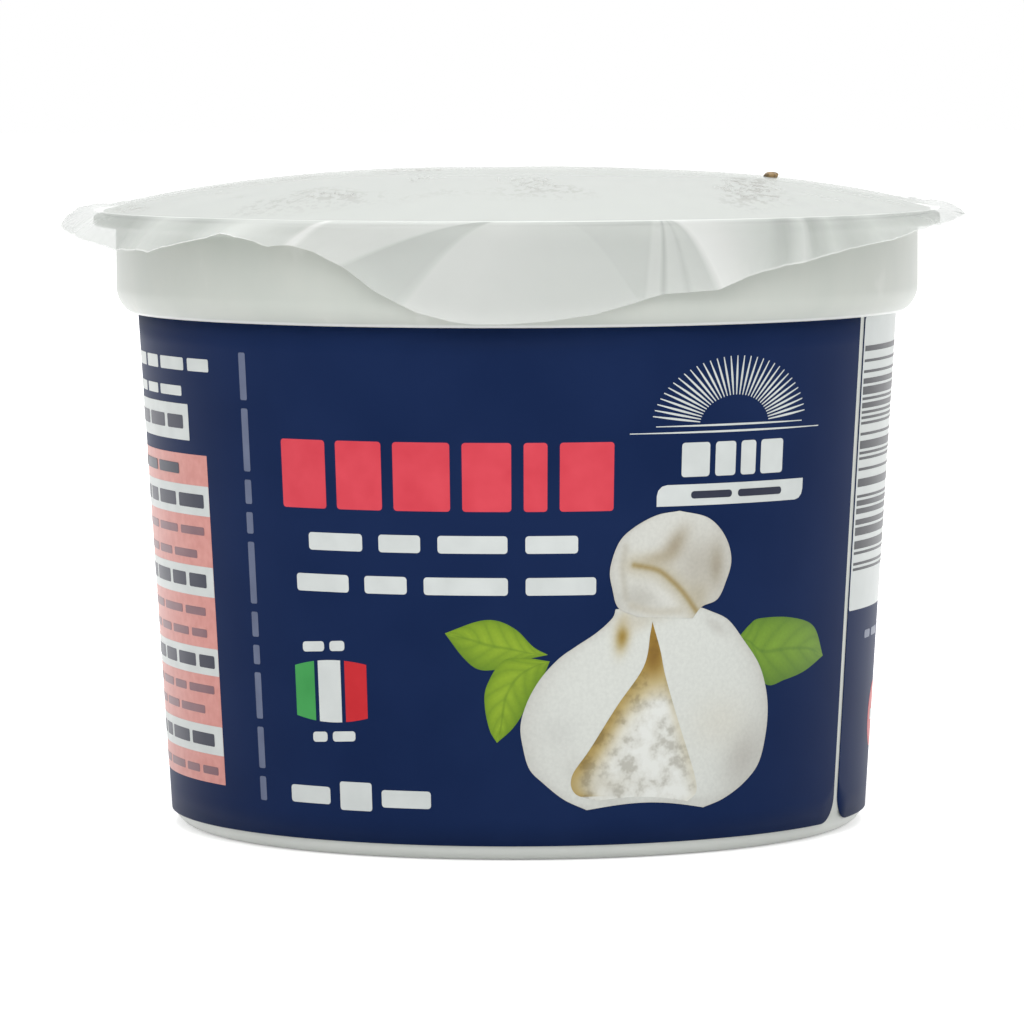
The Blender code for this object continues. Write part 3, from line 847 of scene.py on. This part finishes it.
# ---------------------------------------------------------------------------------------------
# A dried drop that sticks to the top of the film near its back right.
# ---------------------------------------------------------------------------------------------
DROP_PLACE = (28.4, -4.0)
DROP_SIZE = (0.85, 0.6, 0.42)
DROP_COLUMNS, DROP_ROWS = 24, 12
drop_across, drop_down = np.meshgrid(np.linspace(0, 2 * math.pi, DROP_COLUMNS, endpoint=False),
                                     np.linspace(0, math.pi, DROP_ROWS + 2)[1:-1])
drop_high = dome_height(np.hypot(*DROP_PLACE) / FILM_RIM[0]) + 0.25
lumpy = 1 + 0.12 * np.sin(3 * drop_across + 1) * np.sin(2 * drop_down)
drop_points = np.stack([
    DROP_PLACE[0] + DROP_SIZE[0] * lumpy * np.sin(drop_down) * np.cos(drop_across),
    DROP_PLACE[1] + DROP_SIZE[1] * lumpy * np.sin(drop_down) * np.sin(drop_across),
    drop_high + DROP_SIZE[2] * lumpy * np.cos(drop_down)], -1)
drop_points = np.vstack([drop_points.reshape(-1, 3), [
    [*DROP_PLACE, drop_high + DROP_SIZE[2]], [*DROP_PLACE, drop_high - DROP_SIZE[2]]]])
first = np.arange(DROP_COLUMNS)
second = (first + 1) % DROP_COLUMNS
last = (DROP_ROWS - 1) * DROP_COLUMNS
crest = np.full(DROP_COLUMNS, last + DROP_COLUMNS)
drop_faces = [*map(tuple, grid_faces(DROP_ROWS, DROP_COLUMNS, closed=True)[:, ::-1])]
drop_faces += [*zip(second, crest, first), *zip(first + last, crest + 1, second + last)]
amber, tree, shader = new_material("dried_drop", 0.25, 0.5)
tree.links.new(ramp(tree, object_noise(tree, 1500, 2), [
    (0.4, linear(58, 44, 28)), (0.6, linear(150, 122, 78))]), shader.inputs["Base Color"])
make_mesh("dried_drop", drop_points, drop_faces, amber, "clear_film")

# ---------------------------------------------------------------------------------------------
# The stage: a plain white floor, a white surround, soft lamps and the camera.
# ---------------------------------------------------------------------------------------------


def shown_white(tree):
    """One where the camera looks straight at a surface, or sees it in or through another."""
    path = add_node(tree, "ShaderNodeLightPath")
    seen = path.outputs["Is Camera Ray"]
    for kind in ("Is Glossy Ray", "Is Transmission Ray"):
        either = add_node(tree, "ShaderNodeMath", operation="MAXIMUM")
        tree.links.new(seen, either.inputs[0])
        tree.links.new(path.outputs[kind], either.inputs[1])
        seen = either.outputs[0]
    return seen


bpy.ops.mesh.primitive_plane_add(size=8)
floor = bpy.context.object
floor.name = "floor"
white, tree, shader = new_material("floor_white", 0.9, 0.0)
shader.inputs["Base Color"].default_value = (0.86, 0.86, 0.86, 1)
shader.inputs["Emission Color"].default_value = (1, 1, 1, 1)
where = add_node(tree, "ShaderNodeTexCoord")
away = add_node(tree, "ShaderNodeVectorMath", operation="LENGTH")
tree.links.new(where.outputs["Object"], away.inputs[0])
spread = add_node(tree, "ShaderNodeMapRange", inputs={
    "From Min": 0.05, "From Max": 0.25, "To Min": 0.5, "To Max": 1.0})
tree.links.new(away.outputs["Value"], spread.inputs["Value"])
lit = add_node(tree, "ShaderNodeMath", operation="MULTIPLY")
tree.links.new(spread.outputs["Result"], lit.inputs[0])
tree.links.new(shown_white(tree), lit.inputs[1])
tree.links.new(lit.outputs[0], shader.inputs["Emission Strength"])
floor.data.materials.append(white)

world = bpy.data.worlds.new("white_room")
bpy.context.scene.world = world
world.use_nodes = True
tree = world.node_tree
background = tree.nodes["Background"]
level = add_node(tree, "ShaderNodeMapRange", inputs={"To Min": 0.63, "To Max": 1.0})
tree.links.new(shown_white(tree), level.inputs["Value"])
tree.links.new(level.outputs["Result"], background.inputs["Strength"])
background.inputs["Color"].default_value = (1, 1, 1, 1)


def add_lamp(name, place, size, power):
    """A square soft box that faces the middle of the tub."""
    data = bpy.data.lights.new(name, "AREA")
    data.shape = "SQUARE"
    data.size = size
    data.energy = power
    lamp = bpy.data.objects.new(name, data)
    bpy.context.scene.collection.objects.link(lamp)
    lamp.location = place
    aim = Vector((0, 0, 0.045)) - Vector(place)
    lamp.rotation_euler = aim.to_track_quat("-Z", "Y").to_euler()
    return lamp


add_lamp("top_lamp", (0.0, 0.1, 0.9), 0.8, 4.5)
add_lamp("front_lamp", (0.0, -1.0, 0.75), 0.8, 5.0)

camera_data = bpy.data.cameras.new("camera")
camera_data.lens = 231.3
camera_data.sensor_width = 36.0
camera = bpy.data.objects.new("camera", camera_data)
bpy.context.scene.collection.objects.link(camera)
camera.location = (-0.00048, -0.7399, 0.0918)
camera.rotation_euler = (math.pi / 2 - 0.077, 0.003, 0.0)
bpy.context.scene.camera = camera
bpy.context.scene.view_settings.view_transform = "Standard"
